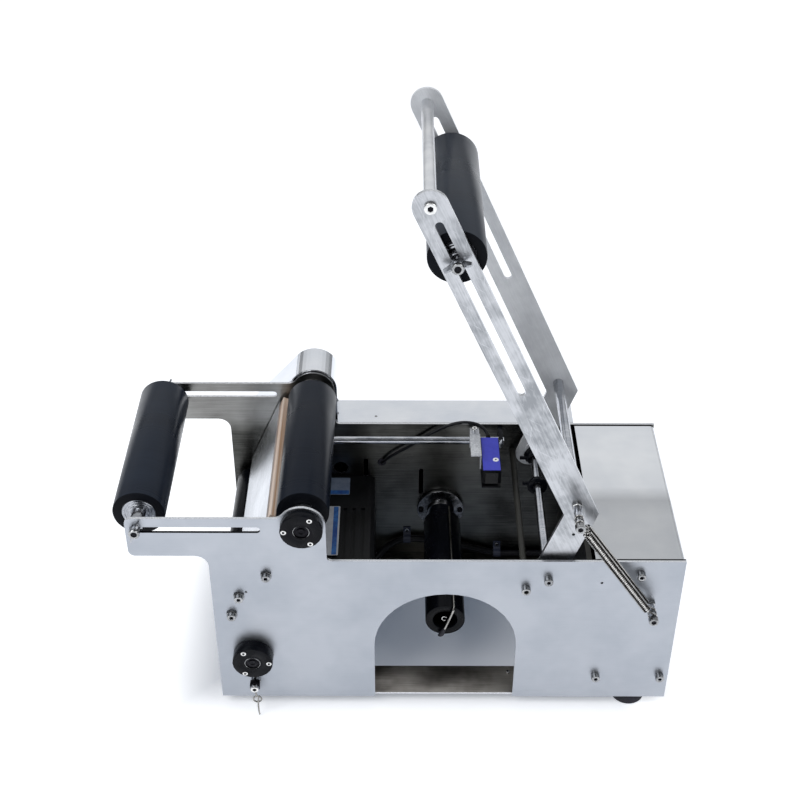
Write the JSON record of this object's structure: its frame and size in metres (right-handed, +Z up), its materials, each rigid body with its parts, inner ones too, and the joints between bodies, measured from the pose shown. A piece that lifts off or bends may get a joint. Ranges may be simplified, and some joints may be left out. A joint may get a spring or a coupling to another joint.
{
  "type": "bottle labelling machine",
  "caption": "Bench-top labelling machine for round bottles: rubber rollers between steel side plates, hinged press arm, label mandrel, fork sensor and peel plate.",
  "frame": {"origin": "middle of the machine's footprint, on the surface it stands on", "axes": "+Z up, +Y from the front side plate to the belt guard, +X from the support roller to the control box"},
  "size_m": [0.5992, 0.3104, 0.6495],
  "materials": {
    "stainless_sheet": "brushed stainless sheet",
    "turned_steel": "turned and plated steel",
    "rubber": "ground roller rubber",
    "black_anodised": "black anodised",
    "black_paint": "semi-gloss black paint",
    "black_plastic": "moulded satin plastic",
    "laminate": "sawn paper laminate",
    "blue_plastic": "moulded satin plastic",
    "cable_jacket": "satin cable jacket",
    "belt_rubber": "matt belt rubber",
    "circuit_board": "glass-fibre board",
    "spring_steel": "drawn spring wire"
  },
  "bodies": {
    "frame": {"front_plate": "stainless_sheet", "back_plate": "stainless_sheet", "base_plate": "stainless_sheet", "foot_front_left": "rubber", "foot_back_left": "rubber", "foot_front_right": "rubber", "foot_back_right": "rubber", "peel_rod": "turned_steel", "hem_rod": "turned_steel", "box_rod_top": "turned_steel", "box_rod_left": "turned_steel", "box_rod_right": "turned_steel", "stop_rod": "turned_steel", "guide_axle": "turned_steel", "pivot_rod": "turned_steel", "drive_housing": "black_anodised", "traction_housing": "black_anodised", "peel_plate": "stainless_sheet", "peel_bar": "laminate", "spring_post": "turned_steel", "mandrel_flange": "stainless_sheet", "mandrel_tube": "black_anodised", "mandrel_clip": "spring_steel", "sensor_rod": "turned_steel", "sensor_lead": "cable_jacket", "gear_motor": "black_paint", "motor_lead": "cable_jacket", "drive_belt": "belt_rubber", "feed_belt": "belt_rubber", "belt_guard": "stainless_sheet", "partition_plate": "stainless_sheet", "right_cover": "stainless_sheet", "control_board": "circuit_board", "power_inlet": "black_plastic", "pinch_spring": "spring_steel"},
    "drive": {"drive_roller": "rubber", "drive_shaft": "turned_steel"},
    "motor": {"motor_shaft": "turned_steel"},
    "traction": {"traction_roller": "rubber"},
    "pinch_carriage": {"pinch_axle": "turned_steel"},
    "pinch": {"pinch_roller": "rubber"},
    "guide": {"guide_roller": "black_anodised"},
    "support_carriage": {"support_axle": "turned_steel"},
    "support": {"support_roller": "rubber"},
    "press_arm": {"front_arm": "stainless_sheet", "back_arm": "stainless_sheet", "handle_bar": "turned_steel", "tie_rod": "turned_steel"},
    "press_carriage": {"press_axle": "turned_steel"},
    "press": {"press_roller": "rubber"},
    "front_guide": {"guide_collar_front": "black_anodised"},
    "back_guide": {"guide_collar_back": "black_anodised"},
    "sensor": {"sensor_bracket": "stainless_sheet", "sensor_body": "blue_plastic"},
    "spring_swing": {"spring_coil_front": "spring_steel", "spring_coil_back": "spring_steel"},
    "spring_reach": {"spring_hook_front": "spring_steel", "spring_hook_back": "spring_steel"},
    "rocker": {"power_rocker": "black_plastic"},
    "knob": {"speed_knob": "black_plastic"}
  },
  "joints": [
    {"name": "drive_spin", "type": "hinge", "parent": "frame", "child": "drive", "pos_m": [-0.1009, -0.00775, 0.269], "axis": [0, 1, 0], "continuous": true},
    {"name": "motor_spin", "type": "hinge", "parent": "frame", "child": "motor", "pos_m": [-0.0754, 0.12925, 0.096], "axis": [0, 1, 0], "continuous": true},
    {"name": "traction_spin", "type": "hinge", "parent": "frame", "child": "traction", "pos_m": [-0.1615, -0.00775, 0.0796], "axis": [0, 1, 0], "continuous": true},
    {"name": "pinch_lift", "type": "slide", "parent": "frame", "child": "pinch_carriage", "axis": [0, 0, -1], "range_m": [0, 0.004], "stiffness_N_per_m": 3000, "springref_m": -0.005, "deforming": ["pinch_spring"]},
    {"name": "pinch_spin", "type": "hinge", "parent": "pinch_carriage", "child": "pinch", "pos_m": [-0.1615, -0.00775, 0.04], "axis": [0, 1, 0], "continuous": true},
    {"name": "guide_spin", "type": "hinge", "parent": "frame", "child": "guide", "pos_m": [-0.181, -0.00875, 0.1422], "axis": [0, 1, 0], "continuous": true},
    {"name": "support_slide", "type": "slide", "parent": "frame", "child": "support_carriage", "axis": [1, 0, 0], "range_m": [0, 0.103]},
    {"name": "support_spin", "type": "hinge", "parent": "support_carriage", "child": "support", "pos_m": [-0.2721, -0.00175, 0.2633], "axis": [0, 1, 0], "continuous": true},
    {"name": "press_arm_swing", "type": "hinge", "parent": "frame", "child": "press_arm", "pos_m": [0.1566, -0.01025, 0.1955], "axis": [0, -1, 0], "range_deg": [0, 53], "stiffness_Nm_per_rad": 6, "springref_deg": -34.38, "deforming": ["spring_coil_front", "spring_coil_back", "spring_hook_front", "spring_hook_back"]},
    {"name": "press_slide", "type": "slide", "parent": "press_arm", "child": "press_carriage", "axis": [0.4112, 0, -0.9115], "range_m": [-0.025, 0.158]},
    {"name": "press_spin", "type": "hinge", "parent": "press_carriage", "child": "press", "pos_m": [0.05086, -0.01075, 0.57767], "axis": [0, 1, 0], "continuous": true},
    {"name": "front_guide_slide", "type": "slide", "parent": "frame", "child": "front_guide", "axis": [0, 1, 0], "range_m": [-0.11, 0.03]},
    {"name": "back_guide_slide", "type": "slide", "parent": "frame", "child": "back_guide", "axis": [0, 1, 0], "range_m": [-0.012, 0.004]},
    {"name": "sensor_slide", "type": "slide", "parent": "frame", "child": "sensor", "axis": [-1, 0, 0], "range_m": [0, 0.06]},
    {"name": "spring_swing_turn", "type": "hinge", "parent": "frame", "child": "spring_swing", "pos_m": [0.2676, -0.14275, 0.1603], "axis": [0, -1, 0], "range_deg": [0, 23.6]},
    {"name": "spring_stretch", "type": "slide", "parent": "spring_swing", "child": "spring_reach", "axis": [-0.5563, 0, 0.831], "range_m": [0, 0.0488]},
    {"name": "rocker_tilt", "type": "hinge", "parent": "frame", "child": "rocker", "pos_m": [0.2526, 0.10925, 0.1], "axis": [-1, 0, 0], "range_deg": [0, 14]},
    {"name": "knob_turn", "type": "hinge", "parent": "frame", "child": "knob", "pos_m": [0.2526, 0.11825, 0.16], "axis": [0, 1, 0], "range_deg": [-150, 150]}
  ],
  "couplings": [
    {"joint": "motor_spin", "follows": "drive_spin", "ratio": 1},
    {"joint": "traction_spin", "follows": "drive_spin", "ratio": 1.25},
    {"joint": "pinch_spin", "follows": "drive_spin", "ratio": -1.5988},
    {"joint": "spring_swing_turn", "follows": "press_arm_swing", "ratio": 0.4425},
    {"joint": "spring_stretch", "follows": "press_arm_swing", "m_per_rad": 0.0525}
  ]
}
